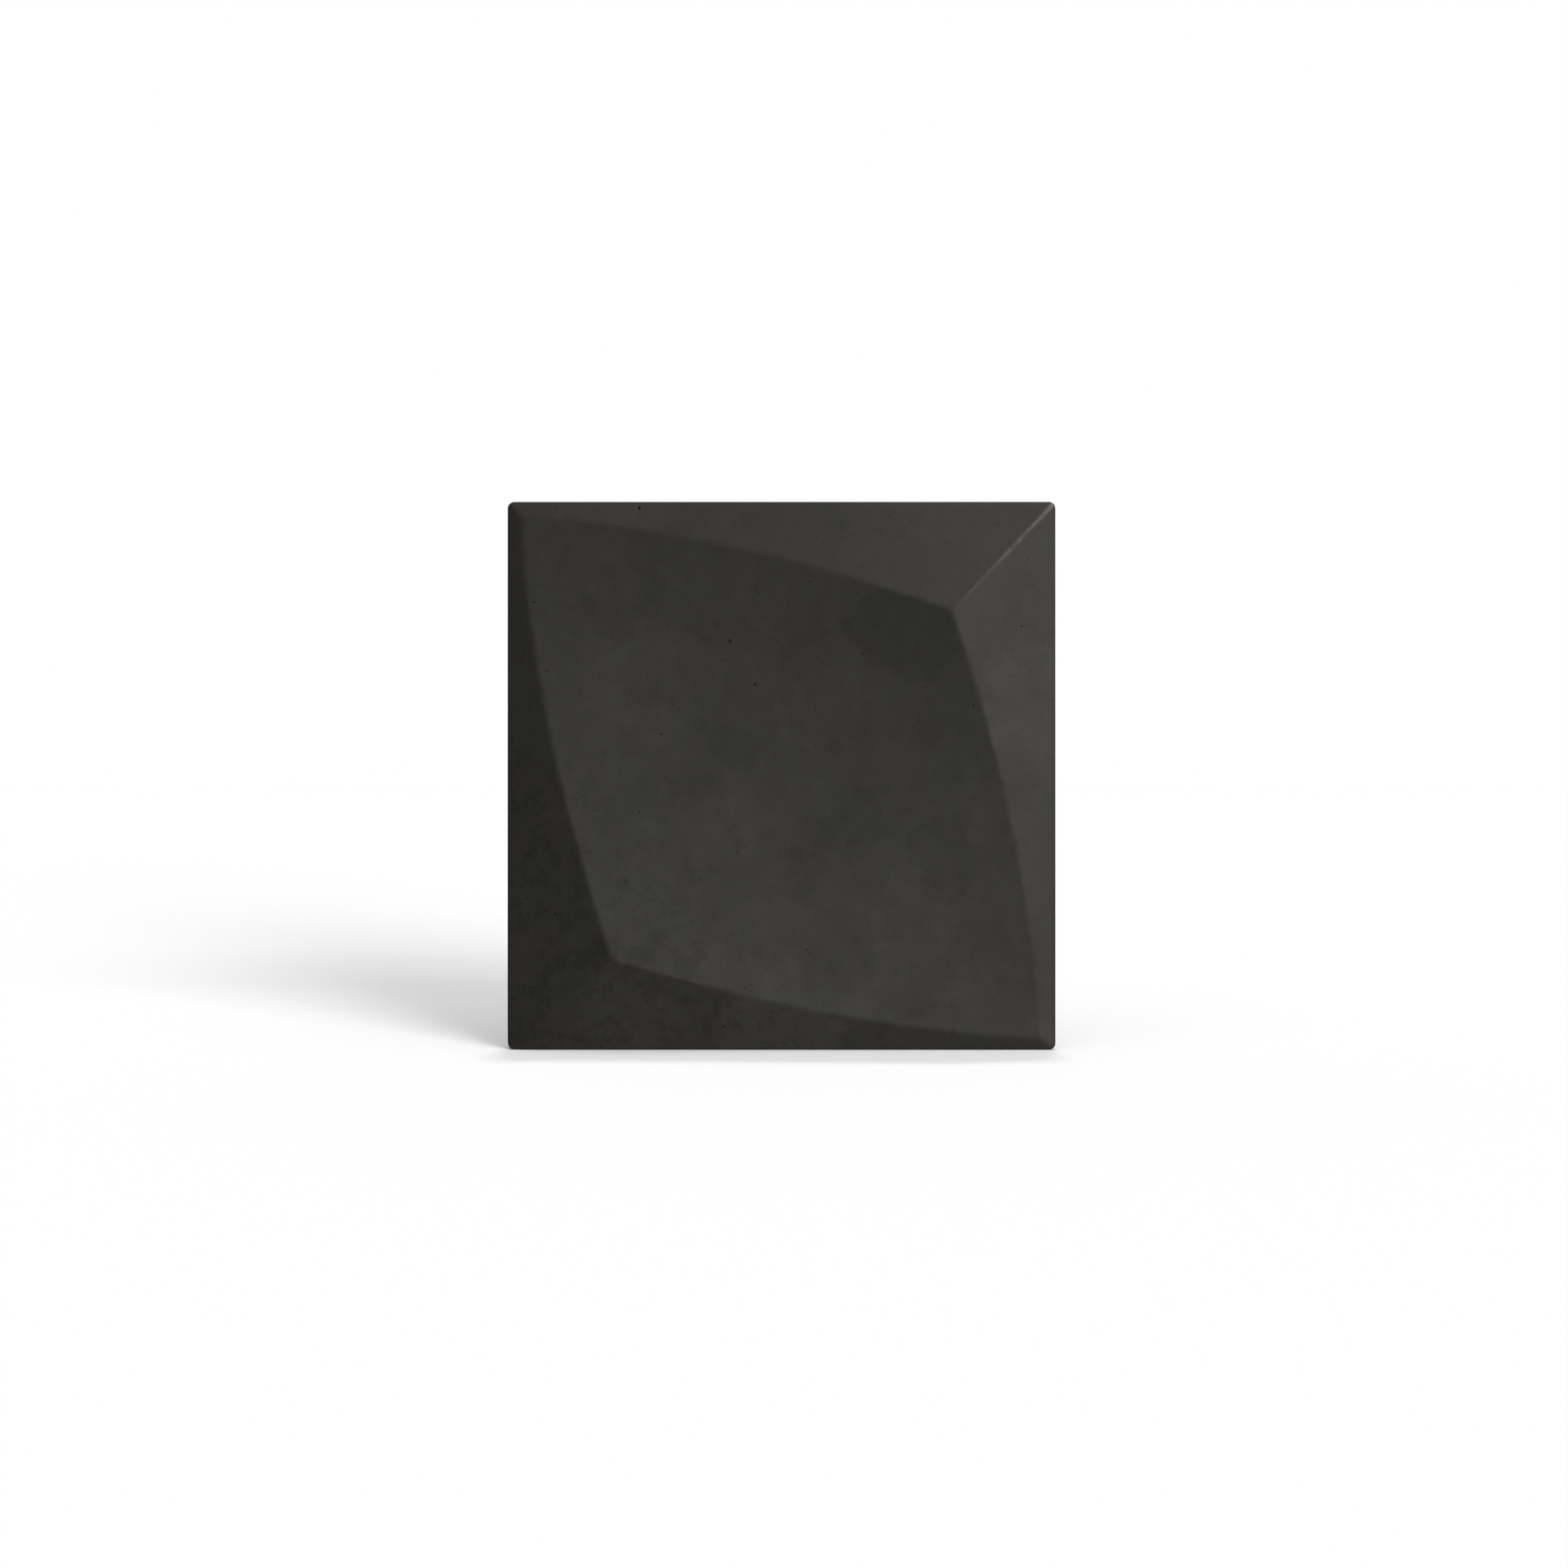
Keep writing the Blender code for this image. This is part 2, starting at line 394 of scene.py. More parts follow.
def relief_height(x, up):
    """Height of the relief over the rim, with rounded creases and slight unevenness."""
    top, right, left, bottom = border_heights(x, up)
    trough = trough_height(x, up) + CREASE_WANDER * (cloud(x, up, CREASE_WANDER_LENGTH, CREASE_LAYER) - 1)
    upper = smooth_min(top, right, UPPER_HIP_BLEND)
    # The lower hip is soft at the tile's corner and sharpens towards its top.
    softness = 1 - min(left, bottom) / HIP_TOP
    lower = smooth_min(left, bottom, SOFT_HIP_BLEND * softness + CREASE_BLEND)
    borders = smooth_min(upper, lower, CREASE_BLEND)
    height = smooth_min(borders, trough, CREASE_BLEND)
    wave = WAVE_HEIGHT * (cloud(x, up, WAVE_LENGTH, WAVE_LAYER) - 1)
    return height + wave * smooth_step(height / FLAT_BORDER_HEIGHT)


class Pits:
    """Round air holes, each given by x, up and width."""

    def __init__(self, holes):
        self.widths = [width for _, _, width in holes]
        self.tree = kdtree.KDTree(len(holes))
        for index, (x, up, _) in enumerate(holes):
            self.tree.insert((x, 0, up), index)
        self.tree.balance()

    def beyond_lip(self, x, up):
        """Distance to the nearest hole's lip, negative inside the hole, and the hole's width."""
        _, index, distance = self.tree.find((x, 0, up))
        width = self.widths[index]
        return distance - width / 2, width

    def share(self, x, up):
        """1 at the bottom of a hole, falling to 0 at its lip."""
        beyond, width = self.beyond_lip(x, up)
        from_centre = 1 + beyond / (width / 2)
        return math.sqrt(max(1 - from_centre**2, 0))

    def depth(self, x, up):
        return self.share(x, up) * self.beyond_lip(x, up)[1] * PIT_DEPTH_SHARE


def scatter_holes(count, widths, half_width, half_height, rng):
    """Holes spread at random, most of them small."""
    holes = []
    for _ in range(count):
        x = rng.uniform(-half_width, half_width)
        up = rng.uniform(-half_height, half_height)
        holes.append((x, up, widths[0] + (widths[1] - widths[0]) * rng.random() ** 2))
    return holes


def place_of(vert):
    return vert.co.x, vert.co.z - CENTRE_Z


def divide(shape, verts_wanted, place_wanted, cuts):
    """Divides the wanted edges of a bmesh, and the faces between them, into cuts + 1."""
    edges = []
    for edge in shape.edges:
        if all(verts_wanted(vert) for vert in edge.verts):
            (x0, up0), (x1, up1) = map(place_of, edge.verts)
            if place_wanted((x0 + x1) / 2, (up0 + up1) / 2):
                edges.append(edge)
    bmesh.ops.subdivide_edges(shape, edges=edges, cuts=cuts, use_grid_fill=True)


def divide_round_pits(shape, verts_wanted, pits):
    for margin, cuts in PIT_MARGINS_AND_CUTS:
        divide(shape, verts_wanted, lambda x, up: pits.beyond_lip(x, up)[0] < margin, cuts)


def add_face(shape, corners):
    """Adds a face through these vertices, of which some may be the same one."""
    distinct = list(dict.fromkeys(corners))
    if len(distinct) > 2:
        shape.faces.new(distinct)


def join_rings(shape, first, second):
    """Adds the faces between two closed rings of vertices."""
    for index in range(len(first)):
        add_face(shape, (first[index - 1], first[index], second[index], second[index - 1]))


def finish_piece(name, shape, material, node):
    """Turns a closed bmesh into the piece that stands for a CAD node, and frees the bmesh."""
    bmesh.ops.recalc_face_normals(shape, faces=shape.faces)
    mesh = bpy.data.meshes.new(name)
    shape.to_mesh(mesh)
    shape.free()
    mesh.materials.append(material)
    mesh.shade_smooth()
    mesh.set_sharp_from_angle(angle=SHARP_ANGLE)
    piece = bpy.data.objects.new(name, mesh)
    bpy.context.scene.collection.objects.link(piece)
    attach(piece, "root")
    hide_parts(node)
    return piece


def edge_stations():
    """Points once round the tile's edge: each a corner of the core grid and an outward angle."""
    last = CORE_CELLS
    stations = []
    for side in range(4):
        for step in range(last + 1):
            corner = ((step, 0), (last, step), (last - step, last), (0, last - step))[side]
            stations.append((corner, (side - 1) * math.pi / 2))
        for part in range(1, CORNER_SEGMENTS):
            stations.append((corner, (side - 1 + part / CORNER_SEGMENTS) * math.pi / 2))
    return stations


def grid_place(corner, inset):
    """Where a corner of a grid lies whose sides are moved in from the tile's edge by inset."""
    column, row = corner
    x = (HALF_WIDTH - inset) * (2 * column / CORE_CELLS - 1)
    up = (HALF_HEIGHT - inset) * (2 * row / CORE_CELLS - 1)
    return x, up


def add_grid(shape, inset):
    """Adds a square grid to a bmesh and returns its vertices by column and row."""
    verts = {}
    for column in range(CORE_CELLS + 1):
        for row in range(CORE_CELLS + 1):
            x, up = grid_place((column, row), inset)
            verts[column, row] = shape.verts.new((x, RIM_Y, CENTRE_Z + up))
    for column in range(CORE_CELLS):
        for row in range(CORE_CELLS):
            cell = ((column, row), (column + 1, row), (column + 1, row + 1), (column, row + 1))
            shape.faces.new([verts[corner] for corner in cell])
    return verts


def add_ring(shape, stations, inset, y):
    """Adds a closed ring this far in from the tile's edge. Points that fall together are one vertex."""
    ring = []
    for corner, angle in stations:
        x, up = grid_place(corner, max(inset, CORNER_RADIUS))
        outwards = max(CORNER_RADIUS - inset, 0)
        x += outwards * math.cos(angle)
        up += outwards * math.sin(angle)
        place = Vector((x, y, CENTRE_Z + up))
        near = [vert for vert in ring[:1] + ring[-1:] if (vert.co - place).length < SAME_PLACE]
        ring.append(near[0] if near else shape.verts.new(place))
    return ring


def wander_in(ring, share):
    """Moves a ring's vertices in towards the tile's centre by a smooth random distance."""
    for vert in dict.fromkeys(ring):
        x, up = place_of(vert)
        layer = vert.co.y / EDGE_WANDER_DEPTH
        wander = share * EDGE_WANDER * (0.5 + 0.5 * cloud(x, up, EDGE_WANDER_LENGTH, layer))
        vert.co.x *= 1 - wander / HALF_WIDTH
        vert.co.z = CENTRE_Z + up * (1 - wander / HALF_HEIGHT)


def make_face(material):
    """The dyed face: its relief, the sides that turn back, the back rim and the hollow inside."""
    shape = bmesh.new()
    # A vertex's depth under the relief, or -1 where it doesn't follow the relief.
    depth_layer = shape.verts.layers.float.new("depth")
    edge_layer = shape.verts.layers.float.new("edge")
    hollow_layer = shape.verts.layers.float.new("hollow")
    trough_layer = shape.verts.layers.float.new("trough")
    stations = edge_stations()
    front = add_grid(shape, CORNER_RADIUS)
    ring = [front[corner] for corner, _ in stations]

    def next_ring(inset, y, depth, edge, wander=0):
        added = add_ring(shape, stations, inset, y)
        for vert in added:
            vert[depth_layer] = depth
            vert[edge_layer] = edge
        wander_in(added, wander)
        join_rings(shape, ring, added)
        return added

    for step in range(ARRIS_SEGMENTS + 1):
        angle = math.pi / 2 * step / ARRIS_SEGMENTS
        depth = FRONT_ARRIS * (1 - math.cos(angle))
        ring = next_ring(FRONT_ARRIS * (1 - math.sin(angle)), RIM_Y, depth, math.sin(angle))
    for step in range(1, SIDE_RINGS):
        side_y = RIM_Y + FRONT_ARRIS + (EDGE_THICKNESS - FRONT_ARRIS - BACK_ARRIS) * step / SIDE_RINGS
        ring = next_ring(0, side_y, -1, 1, step / SIDE_RINGS)
    for step in range(ARRIS_SEGMENTS + 1):
        angle = math.pi / 2 * step / ARRIS_SEGMENTS
        inset = BACK_ARRIS * (1 - math.cos(angle))
        ring = next_ring(inset, BACK_Y - BACK_ARRIS * (1 - math.sin(angle)), -1, 1, 1)
    for inset in (CORNER_RADIUS, (CORNER_RADIUS + FACE_THICKNESS) / 2, FACE_THICKNESS):
        ring = next_ring(inset, BACK_Y, -1, 1)
    cavity = add_grid(shape, FACE_THICKNESS)
    for vert in cavity.values():
        vert[depth_layer] = FACE_THICKNESS
    join_rings(shape, ring, [cavity[corner] for corner, _ in stations])

    def on_front(vert):
        return vert[depth_layer] == 0

    rng = random.Random(PIT_SEED)
    small = scatter_holes(SMALL_PITS, SMALL_PIT_WIDTHS, HALF_WIDTH, HALF_HEIGHT, rng)
    pits = Pits([*PINHOLES, *small])
    divide(shape, on_front, lambda x, up: crease_gap(x, up) < CREASE_GAP, CREASE_CUTS)
    divide(shape, on_front, lambda x, up: upper_hip_gap(x, up) < UPPER_HIP_GAP, UPPER_HIP_CUTS)
    divide_round_pits(shape, on_front, pits)
    for vert in shape.verts:
        x, up = place_of(vert)
        if vert[depth_layer] >= 0:
            vert.co.y = RIM_Y - relief_height(x, up) + vert[depth_layer]
        if on_front(vert):
            vert.co.y += pits.depth(x, up)
            vert[hollow_layer] = pits.share(x, up)
            vert[trough_layer] = trough_height(x, up) < min(border_heights(x, up))
    return finish_piece("cast_face", shape, material, "face_layer")


def row_centres():
    """Where the net's parallel yarns lie, across the tile from its centre."""
    return [(row - (YARN_ROWS - 1) / 2) * YARN_PITCH for row in range(YARN_ROWS)]


def groove_share(across, along, layer):
    """1 in a groove, 0 outside, from the distance across the rows and along them."""
    row = min(row_centres(), key=lambda centre: abs(centre - across))
    wander = LIP_WANDER * cloud(row + along, along, LIP_WANDER_LENGTH, layer)
    inside = GROOVE_HALF_WIDTH + wander - abs(across - row)
    inside = min(inside, NET_HALF_LENGTH + LAYER_GAP + wander - abs(along))
    return smooth_step(0.5 + inside / (2 * GROOVE_LIP))


def groove_depth(x, up):
    """How deep the grooves for the upright and the level yarns are here."""
    level = YARN_COVER + YARN_THICKNESS + LAYER_GAP
    upright = level + YARN_STEP
    return max(
        upright * groove_share(x, up, UPRIGHT_GROOVE_LAYER),
        level * groove_share(up, x, LEVEL_GROOVE_LAYER),
    )


def backing_lines(half_size):
    """Places of the mesh's lines across the backing: close together at each groove, wider between."""
    reach = GROOVE_HALF_WIDTH + GROOVE_LIP + LIP_WANDER
    ends = [-half_size]
    lines = []
    for centre in row_centres():
        ends += [centre - reach, centre + reach]
        lines += [centre + reach * (2 * step / (GROOVE_LINES - 1) - 1) for step in range(GROOVE_LINES)]
    ends.append(half_size)
    for start, end in zip(ends[::2], ends[1::2]):
        step_size = (end - start) / (LINES_BETWEEN_GROOVES + 1)
        lines += [start + step_size * step for step in range(1, LINES_BETWEEN_GROOVES + 1)]
    return sorted([-half_size, *lines, half_size])


def make_backing(material):
    """The backing inside the face: a grooved, slightly uneven back and a front that follows the relief."""
    shape = bmesh.new()
    back_layer = shape.verts.layers.float.new("back")
    hollow_layer = shape.verts.layers.float.new("hollow")
    inset = FACE_THICKNESS + BACKING_CLEARANCE
    columns = backing_lines(HALF_WIDTH - inset)
    rows = backing_lines(HALF_HEIGHT - inset)
    sheets = []
    for is_back in (1, 0):
        sheet = {}
        for column, x in enumerate(columns):
            for row, up in enumerate(rows):
                sheet[column, row] = shape.verts.new((x, BACK_Y, CENTRE_Z + up))
                sheet[column, row][back_layer] = is_back
        for column in range(len(columns) - 1):
            for row in range(len(rows) - 1):
                cell = ((column, row), (column + 1, row), (column + 1, row + 1), (column, row + 1))
                shape.faces.new([sheet[corner] for corner in cell])
        sheets.append(sheet)
    last_column, last_row = len(columns) - 1, len(rows) - 1
    outline = [(column, 0) for column in range(last_column)]
    outline += [(last_column, row) for row in range(last_row)]
    outline += [(column, last_row) for column in range(last_column, 0, -1)]
    outline += [(0, row) for row in range(last_row, 0, -1)]
    join_rings(shape, *([sheet[corner] for corner in outline] for sheet in sheets))

    def on_back(vert):
        return vert[back_layer] == 1

    rng = random.Random(PIT_SEED)
    spread = (HALF_WIDTH - inset, HALF_HEIGHT - inset)
    pits = Pits(scatter_holes(BACK_PITS, BACK_PIT_WIDTHS, *spread, rng))
    divide_round_pits(shape, on_back, pits)
    for vert in shape.verts:
        x, up = place_of(vert)
        if on_back(vert):
            wave = BACK_WAVE_HEIGHT * (0.5 + 0.5 * cloud(x, up, BACK_WAVE_LENGTH, BACK_LAYER))
            grooves = groove_depth(x, up)
            vert.co.y = BACK_Y - max(wave, grooves) - pits.depth(x, up)
            vert[hollow_layer] = pits.share(x, up)
        else:
            vert.co.y = RIM_Y - relief_height(x, up) + FACE_THICKNESS + LAYER_GAP
    return finish_piece("cast_backing", shape, material, "backing_layer")


def add_yarn(shape, valley_layer, row, upright):
    """Adds one yarn of the net to a bmesh, as a closed tube of twisted strands pressed flat."""
    cover = YARN_COVER + (YARN_STEP if upright else 0)
    centre_y = BACK_Y - cover - YARN_THICKNESS / 2
    rings = round(2 * NET_HALF_LENGTH / YARN_RING_STEP)
    layer = UPRIGHT_YARN_LAYER if upright else LEVEL_YARN_LAYER
    previous = None
    for index in range(rings + 1):
        along = NET_HALF_LENGTH * (2 * index / rings - 1)
        twist = math.pi * along / YARN_TWIST_LENGTH
        sway = YARN_SWAY * cloud(row, along, YARN_SWAY_LENGTH, layer)
        ring = []
        for side in range(YARN_SIDES):
            angle = 2 * math.pi * side / YARN_SIDES
            valley = 1 - abs(math.cos(YARN_STRANDS * angle / 2 + twist))
            size = 1 - YARN_RIDGE * valley
            across = row + sway + size * YARN_WIDTH / 2 * math.cos(angle)
            y = centre_y + size * YARN_THICKNESS / 2 * math.sin(angle)
            x, up = (across, along) if upright else (along, across)
            vert = shape.verts.new((x, y, CENTRE_Z + up))
            vert[valley_layer] = valley
            ring.append(vert)
        if previous:
            join_rings(shape, previous, ring)
        else:
            shape.faces.new(ring)
        previous = ring
    shape.faces.new(previous)


def make_net(material):
    """The glass-fibre net in the grooves of the backing."""
    shape = bmesh.new()
    valley_layer = shape.verts.layers.float.new("valley")
    for upright in (True, False):
        for row in row_centres():
            add_yarn(shape, valley_layer, row, upright)
    return finish_piece("yarn_net", shape, material, "reinforcing_net")


# Materials. Each builds up its colour from the object's own coordinates.


class Paint:
    """A new material's nodes, with short ways to add the kinds that these materials use."""

    def __init__(self, name):
        self.material = bpy.data.materials.new(name)
        self.material.use_nodes = True
        self.tree = self.material.node_tree
        self.shader = self.tree.nodes["Principled BSDF"]
        self.place = self.add("ShaderNodeTexCoord").outputs["Object"]
        self.layers = 0

    def add(self, kind, **settings):
        made = self.tree.nodes.new(kind)
        for name, value in settings.items():
            setattr(made, name, value)
        return made

    def put(self, socket, value):
        """Sets a socket to a plain value, or joins another node's output to it."""
        if isinstance(value, bpy.types.NodeSocket):
            self.tree.links.new(value, socket)
        else:
            socket.default_value = value

    def clouds(self, length, detail=2, roughness=0.5):
        """Soft noise from 0 to 1, its patches about a length across. Each call has its own pattern."""
        made = self.add("ShaderNodeTexNoise", noise_dimensions="4D")
        self.layers += 1
        self.put(made.inputs["Vector"], self.place)
        self.put(made.inputs["W"], self.layers * math.e)
        self.put(made.inputs["Scale"], 1 / length)
        self.put(made.inputs["Detail"], detail)
        self.put(made.inputs["Roughness"], roughness)
        return made.outputs["Fac"]

    def pattern(self, length, detail, roughness, start, full):
        """Soft noise made crisper: 0 up to its start and 1 from where it is full."""
        return self.spread(self.clouds(length, detail, roughness), start, full)

    def spread(self, value, low, high, to_low=0, to_high=1):
        """Maps the range from low to high onto another range, and holds what is outside at its ends."""
        made = self.add("ShaderNodeMapRange", interpolation_type="SMOOTHSTEP")
        for name, number in (
            ("Value", value),
            ("From Min", low),
            ("From Max", high),
            ("To Min", to_low),
            ("To Max", to_high),
        ):
            self.put(made.inputs[name], number)
        return made.outputs["Result"]

    def sum_up(self, operation, first, second):
        made = self.add("ShaderNodeMath", operation=operation)
        self.put(made.inputs[0], first)
        self.put(made.inputs[1], second)
        return made.outputs[0]

    def changed(self, level, pattern, share):
        """A brightness, changed by this share of itself where the pattern is 1."""
        return self.sum_up("MULTIPLY", level, self.spread(pattern, 0, 1, 1, 1 + share))

    def part_mix(self, pattern, share, first, second):
        """Goes this share of the way from the first colour to the second where the pattern is 1."""
        return self.mix(self.sum_up("MULTIPLY", pattern, share), first, second)

    def mix(self, share, first, second):
        """Goes from the first colour to the second as the share goes from 0 to 1."""
        made = self.add("ShaderNodeMix", data_type="RGBA")
        self.put(made.inputs["Factor"], share)
        self.put(made.inputs[6], first)
        self.put(made.inputs[7], second)
        return made.outputs[2]

    def scaled(self, colour, level):
        """A colour made darker or paler by a number."""
        made = self.add("ShaderNodeVectorMath", operation="SCALE")
        self.put(made.inputs[0], colour)
        self.put(made.inputs["Scale"], level)
        return made.outputs[0]

    def stored(self, name):
        """A number that the mesh keeps for each of its vertices."""
        return self.add("ShaderNodeAttribute", attribute_name=name).outputs["Fac"]

    def along(self, direction, offset):
        """How far a point lies along a direction, less an offset."""
        made = self.add("ShaderNodeVectorMath", operation="DOT_PRODUCT")
        self.put(made.inputs[0], self.place)
        self.put(made.inputs[1], direction)
        return self.sum_up("SUBTRACT", made.outputs["Value"], offset)

    def ragged_place(self, amount):
        """The place on the tile, seen from the front and shifted at random by up to this amount."""
        shift = self.add("ShaderNodeTexNoise")
        self.put(shift.inputs["Vector"], self.place)
        self.put(shift.inputs["Scale"], 1 / amount)
        self.put(shift.inputs["Detail"], RAGGED_DETAIL)
        self.put(shift.inputs["Roughness"], RAGGED_ROUGHNESS)
        shifted = self.add("ShaderNodeVectorMath", operation="MULTIPLY_ADD")
        self.put(shifted.inputs[0], shift.outputs["Color"])
        self.put(shifted.inputs[1], (2 * amount, 0, 2 * amount))
        self.put(shifted.inputs[2], self.place)
        flat = self.add("ShaderNodeVectorMath", operation="MULTIPLY_ADD")
        self.put(flat.inputs[0], shifted.outputs[0])
        self.put(flat.inputs[1], (1, 0, 1))
        self.put(flat.inputs[2], (-amount, 0, -amount))
        return flat.outputs[0]

    def patch(self, place, x, up, radius):
        """1 in the middle of a round patch, 0 outside it."""
        made = self.add("ShaderNodeVectorMath", operation="DISTANCE")
        self.put(made.inputs[0], place)
        self.put(made.inputs[1], (x, 0, CENTRE_Z + up))
        outer, inner = PATCH_RIM
        return self.spread(made.outputs["Value"], radius * outer, radius * inner)

    def bump(self, height, distance, strength=1, over=None):
        made = self.add("ShaderNodeBump")
        self.put(made.inputs["Height"], height)
        self.put(made.inputs["Distance"], distance)
        self.put(made.inputs["Strength"], strength)
        if over is not None:
            self.put(made.inputs["Normal"], over)
        return made.outputs["Normal"]


def grey(level, warmth=GREY_WARMTH):
    """A grey with this linear brightness, leaning to the warm side."""
    return (level * (1 + warmth), level, level * (1 - 2 * warmth), 1)


def hip_highlight(paint):
    """Where the painted highlight lies along the ridge from the top right corner to the crease, from 0 to
    1.
    """
    corner = Vector((HALF_WIDTH, 0, CENTRE_Z + HALF_HEIGHT))
    # The ridge runs where the top and right borders are equally high.
    inwards = Vector((-TOP_SLOPE, 0, -RIGHT_SLOPE)).normalized()
    sideways = Vector((inwards.z, 0, -inwards.x))
    jitter = paint.clouds(*HIGHLIGHT_WOBBLE_NOISE)
    jitter = paint.spread(jitter, *NOISE_RANGE, -HIGHLIGHT_WOBBLE, HIGHLIGHT_WOBBLE)
    off = paint.sum_up("ADD", paint.along(sideways, sideways.dot(corner)), jitter)
    off = paint.sum_up("ABSOLUTE", off, 0)
    length_in = paint.along(inwards, inwards.dot(corner))
    inner_half_width = HIGHLIGHT_HALF_WIDTH * HIGHLIGHT_NARROWING
    half_width = paint.spread(length_in, 0, HIGHLIGHT_LENGTH, HIGHLIGHT_HALF_WIDTH, inner_half_width)
    line = paint.sum_up("SUBTRACT", 1, paint.sum_up("DIVIDE", off, half_width))
    line = paint.spread(line, 0, HIGHLIGHT_SOFTNESS)
    fade = paint.spread(length_in, 0, HIGHLIGHT_LENGTH, 1, HIGHLIGHT_END_SHARE)
    past_corner = paint.spread(length_in, 0, HIGHLIGHT_CORNER_LENGTH, 1, HIGHLIGHT_PAST_CORNER)
    ended = paint.spread(length_in, HIGHLIGHT_LENGTH, HIGHLIGHT_LENGTH + HIGHLIGHT_FADE_LENGTH, 1, 0)
    patchy = paint.spread(paint.clouds(*HIGHLIGHT_PATCHY_NOISE), *HIGHLIGHT_PATCHY_RANGE, HIGHLIGHT_LEAST, 1)
    in_front = paint.spread(paint.stored("edge"), *HIGHLIGHT_EDGE_RANGE, 1, 0)
    share = paint.sum_up("MULTIPLY", line, fade)
    share = paint.sum_up("MULTIPLY", share, past_corner)
    share = paint.sum_up("MULTIPLY", share, ended)
    share = paint.sum_up("MULTIPLY", share, in_front)
    return paint.sum_up("MULTIPLY", share, patchy)


def face_material():
    """Charcoal dyed concrete, cast against a smooth mould."""
    paint = Paint("dyed_concrete")
    cloudy = paint.pattern(*CLOUDY)
    tint = paint.pattern(*TINTED)
    level = paint.spread(cloudy, 0, 1, *CLOUDY_LEVELS)
    for *pattern, share in FACE_PATTERNS:
        level = paint.changed(level, paint.pattern(*pattern), share)
    grain = paint.clouds(GRAIN_LENGTH)
    level = paint.changed(level, grain, GRAIN_SHARE)
    to_low_left = paint.along(Vector((-1, 0, -1)).normalized(), -CENTRE_Z / math.sqrt(2))
    stains = paint.pattern(*STAINED)
    stains = paint.sum_up("MULTIPLY", stains, paint.spread(to_low_left, *STAIN_DISTANCES))
    level = paint.changed(level, stains, STAIN_SHARE)
    ragged = paint.ragged_place(PATCH_RAGGEDNESS)
    in_trough = paint.stored("trough")
    on_borders = paint.spread(in_trough, 0, 1, 1, 0)
    for patches, where in ((TROUGH_PATCHES, in_trough), (BORDER_PATCHES, on_borders)):
        for x, up, radius, share in patches:
            patch = paint.sum_up("MULTIPLY", where, paint.patch(ragged, x, up, radius))
            level = paint.changed(level, patch, share)
    colour = paint.mix(tint, *(grey(FACE_LEVEL, warmth) for warmth in TINT_WARMTHS))
    colour = paint.scaled(colour, level)
    # Painted shade round the face's edges and over its sides.
    colour = paint.part_mix(paint.stored("edge"), EDGE_SHADE_SHARE, colour, grey(EDGE_SHADE_LEVEL))
    # Painted shade inside the air holes.
    colour = paint.part_mix(paint.stored("hollow"), PIT_SHADE_SHARE, colour, grey(PIT_SHADE_LEVEL))
    # The smears cover the back rim, and here and there reach round its edge.
    ragged_edge = paint.clouds(*SMEAR_NOISE)
    ragged_edge = paint.spread(ragged_edge, *NOISE_RANGE, -SMEAR_RAGGEDNESS, SMEAR_RAGGEDNESS)
    to_back = paint.sum_up("ADD", paint.along((0, 1, 0), BACK_Y), ragged_edge)
    smears = paint.spread(to_back, *SMEAR_DEPTHS, 0, SMEAR_SHARE)
    colour = paint.mix(smears, colour, grey(SMEAR_LEVEL))
    # A painted highlight along the top right ridge.
    highlight = hip_highlight(paint)
    colour = paint.mix(highlight, colour, grey(HIGHLIGHT_LEVEL))
    paint.put(paint.shader.inputs["Base Color"], colour)
    roughness = paint.spread(paint.clouds(*FACE_ROUGHNESS_NOISE), *NOISE_RANGE, *FACE_ROUGHNESS)
    paint.put(paint.shader.inputs["Roughness"], roughness)
    paint.put(paint.shader.inputs["Specular IOR Level"], FACE_SPECULAR)
    normal = paint.bump(paint.clouds(*FACE_BUMP_NOISE), *FACE_BUMP)
    normal = paint.bump(grain, *GRAIN_BUMP, normal)
    paint.put(paint.shader.inputs["Normal"], normal)
    return paint.material


def backing_material():
    """Plain grey cement with coarse sand, struck off level."""
    paint = Paint("sand_cement")
    cloudy = paint.pattern(*BACKING_CLOUDY)
    trowelled = paint.pattern(*TROWELLED)
    sand = paint.clouds(*SAND_NOISE)
    pale_grains = paint.spread(sand, *PALE_GRAIN_RANGE)
    dark_grains = paint.spread(sand, *DARK_GRAIN_RANGE)
    colour = paint.mix(cloudy, *map(grey, BACKING_LEVELS))
    colour = paint.part_mix(trowelled, TROWELLED_SHARE, colour, grey(TROWELLED_LEVEL))
    colour = paint.part_mix(pale_grains, GRAINS_SHARE, colour, grey(PALE_GRAIN_LEVEL))
    colour = paint.part_mix(dark_grains, GRAINS_SHARE, colour, grey(DARK_GRAIN_LEVEL))
    hollow = paint.stored("hollow")
    # Painted shade inside the air holes.
    colour = paint.part_mix(hollow, BACK_PIT_SHADE_SHARE, colour, grey(BACK_PIT_SHADE_LEVEL))
    paint.put(paint.shader.inputs["Base Color"], colour)
    paint.put(paint.shader.inputs["Roughness"], paint.spread(sand, *NOISE_RANGE, *BACKING_ROUGHNESS))
    paint.put(paint.shader.inputs["Specular IOR Level"], BACKING_SPECULAR)
    normal = paint.bump(paint.clouds(*BACKING_BUMP_NOISE), *BACKING_BUMP)
    normal = paint.bump(sand, *SAND_BUMP, normal)
    paint.put(paint.shader.inputs["Normal"], normal)
    return paint.material


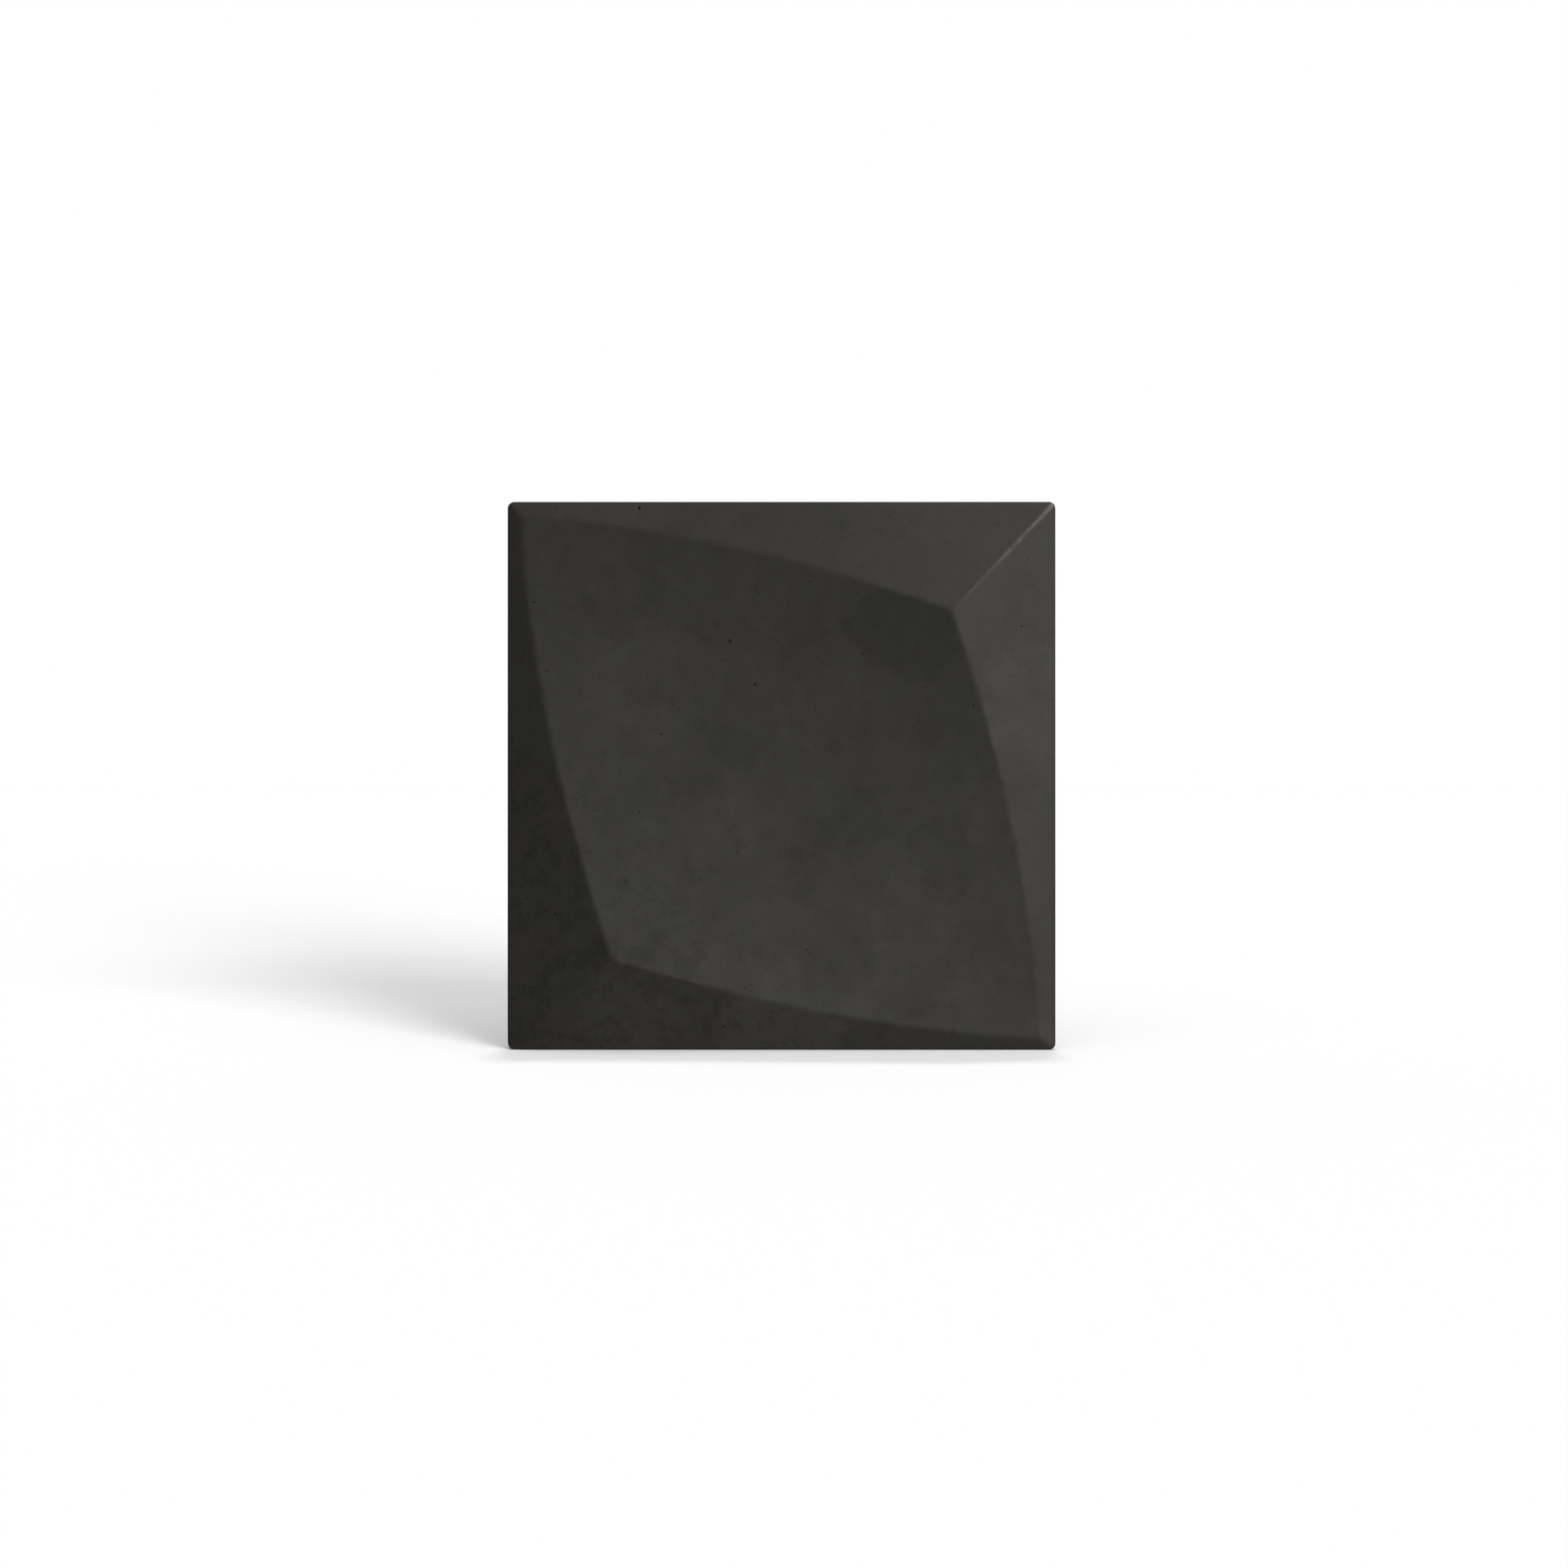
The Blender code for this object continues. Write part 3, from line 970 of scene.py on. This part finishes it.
def net_material():
    """Coated glass-fibre yarn, with painted shade in its valleys and cement smeared over it in places."""
    paint = Paint("coated_glass_fibre")
    fibres = paint.clouds(*FIBRE_NOISE)
    smears = paint.pattern(*YARN_SMEARS)
    colour = paint.mix(fibres, *FIBRE_COLOURS)
    valley = paint.stored("valley")
    # Painted shade in the valleys between the strands.
    colour = paint.part_mix(valley, VALLEY_SHADE_SHARE, colour, grey(VALLEY_SHADE_LEVEL))
    colour = paint.part_mix(smears, YARN_SMEAR_SHARE, colour, grey(YARN_SMEAR_LEVEL))
    paint.put(paint.shader.inputs["Base Color"], colour)
    paint.put(paint.shader.inputs["Roughness"], paint.spread(smears, 0, 1, *YARN_ROUGHNESS))
    paint.put(paint.shader.inputs["Normal"], paint.bump(fibres, *FIBRE_BUMP))
    return paint.material


# The stage: a white floor, soft studio lights and a level camera.


def make_floor():
    shape = bmesh.new()
    bmesh.ops.create_circle(shape, cap_ends=True, segments=FLOOR_SIDES, radius=FLOOR_RADIUS)
    mesh = bpy.data.meshes.new("floor")
    shape.to_mesh(mesh)
    shape.free()
    paint = Paint("white_floor")
    paint.put(paint.shader.inputs["Base Color"], (FLOOR_LEVEL, FLOOR_LEVEL, FLOOR_LEVEL, 1))
    paint.put(paint.shader.inputs["Roughness"], FLOOR_ROUGHNESS)
    paint.put(paint.shader.inputs["Specular IOR Level"], 0)
    mesh.materials.append(paint.material)
    floor = bpy.data.objects.new("floor", mesh)
    bpy.context.scene.collection.objects.link(floor)
    # The floor's own light would wash out the dark tile, so only the camera sees it.
    floor.visible_diffuse = False
    floor.visible_glossy = False
    return floor


def make_world():
    """White behind everything, and only a dim light on the tile from all round."""
    world = bpy.data.worlds.new("studio")
    bpy.context.scene.world = world
    world.use_nodes = True
    tree = world.node_tree
    back = tree.nodes["Background"]
    seen = tree.nodes.new("ShaderNodeLightPath")
    strength = tree.nodes.new("ShaderNodeMapRange")
    tree.links.new(seen.outputs["Is Camera Ray"], strength.inputs["Value"])
    strength.inputs["To Min"].default_value = WORLD_LIGHT
    strength.inputs["To Max"].default_value = WORLD_WHITE
    tree.links.new(strength.outputs["Result"], back.inputs["Strength"])
    back.inputs["Color"].default_value = (1, 1, 1, 1)


def direction(azimuth, elevation):
    """Unit vector to a light: azimuth 0 is in front of the tile and 90 to its right."""
    azimuth, elevation = math.radians(azimuth), math.radians(elevation)
    level = math.cos(elevation)
    return Vector((math.sin(azimuth) * level, -math.cos(azimuth) * level, math.sin(elevation)))


def add_light(name, kind, azimuth, elevation, distance, lit, **settings):
    """A light that shines on the tile's centre and lights only the objects of one collection."""
    light = bpy.data.lights.new(name, kind)
    for setting, value in settings.items():
        setattr(light, setting, value)
    holder = bpy.data.objects.new(name, light)
    towards = direction(azimuth, elevation)
    holder.location = TILE_CENTRE + towards * distance
    holder.rotation_euler = towards.to_track_quat("Z", "Y").to_euler()
    holder.visible_camera = False
    holder.light_linking.receiver_collection = lit
    bpy.context.scene.collection.objects.link(holder)


def group(name, members):
    made = bpy.data.collections.new(name)
    for member in members:
        made.objects.link(member)
    return made


def make_lights(pieces, floor):
    on_tile = group("lit_tile", pieces)
    on_floor = group("lit_floor", [floor])
    for name, azimuth, elevation, distance, shape, width, height, power in SOFTBOXES:
        size = {"shape": shape, "size": width, "size_y": height}
        add_light(name, "AREA", azimuth, elevation, distance, on_tile, energy=power, **size)
    for name, azimuth, elevation, width, strength in FLOOR_SUNS:
        angle = math.radians(width)
        add_light(name, "SUN", azimuth, elevation, SUN_DISTANCE, on_floor, angle=angle, energy=strength)


def make_camera():
    camera = bpy.data.objects.new("camera", bpy.data.cameras.new("camera"))
    camera.data.lens = CAMERA_LENS
    camera.location = (CAMERA_X, RIM_Y - CAMERA_TO_RIM, CENTRE_Z - CAMERA_BELOW_CENTRE)
    camera.rotation_euler = (math.pi / 2, 0, 0)
    bpy.context.scene.collection.objects.link(camera)
    bpy.context.scene.camera = camera


make_camera()
tile_pieces = [
    make_face(face_material()),
    make_backing(backing_material()),
    make_net(net_material()),
]
make_lights(tile_pieces, make_floor())
make_world()
bpy.context.scene.view_settings.view_transform = "Standard"
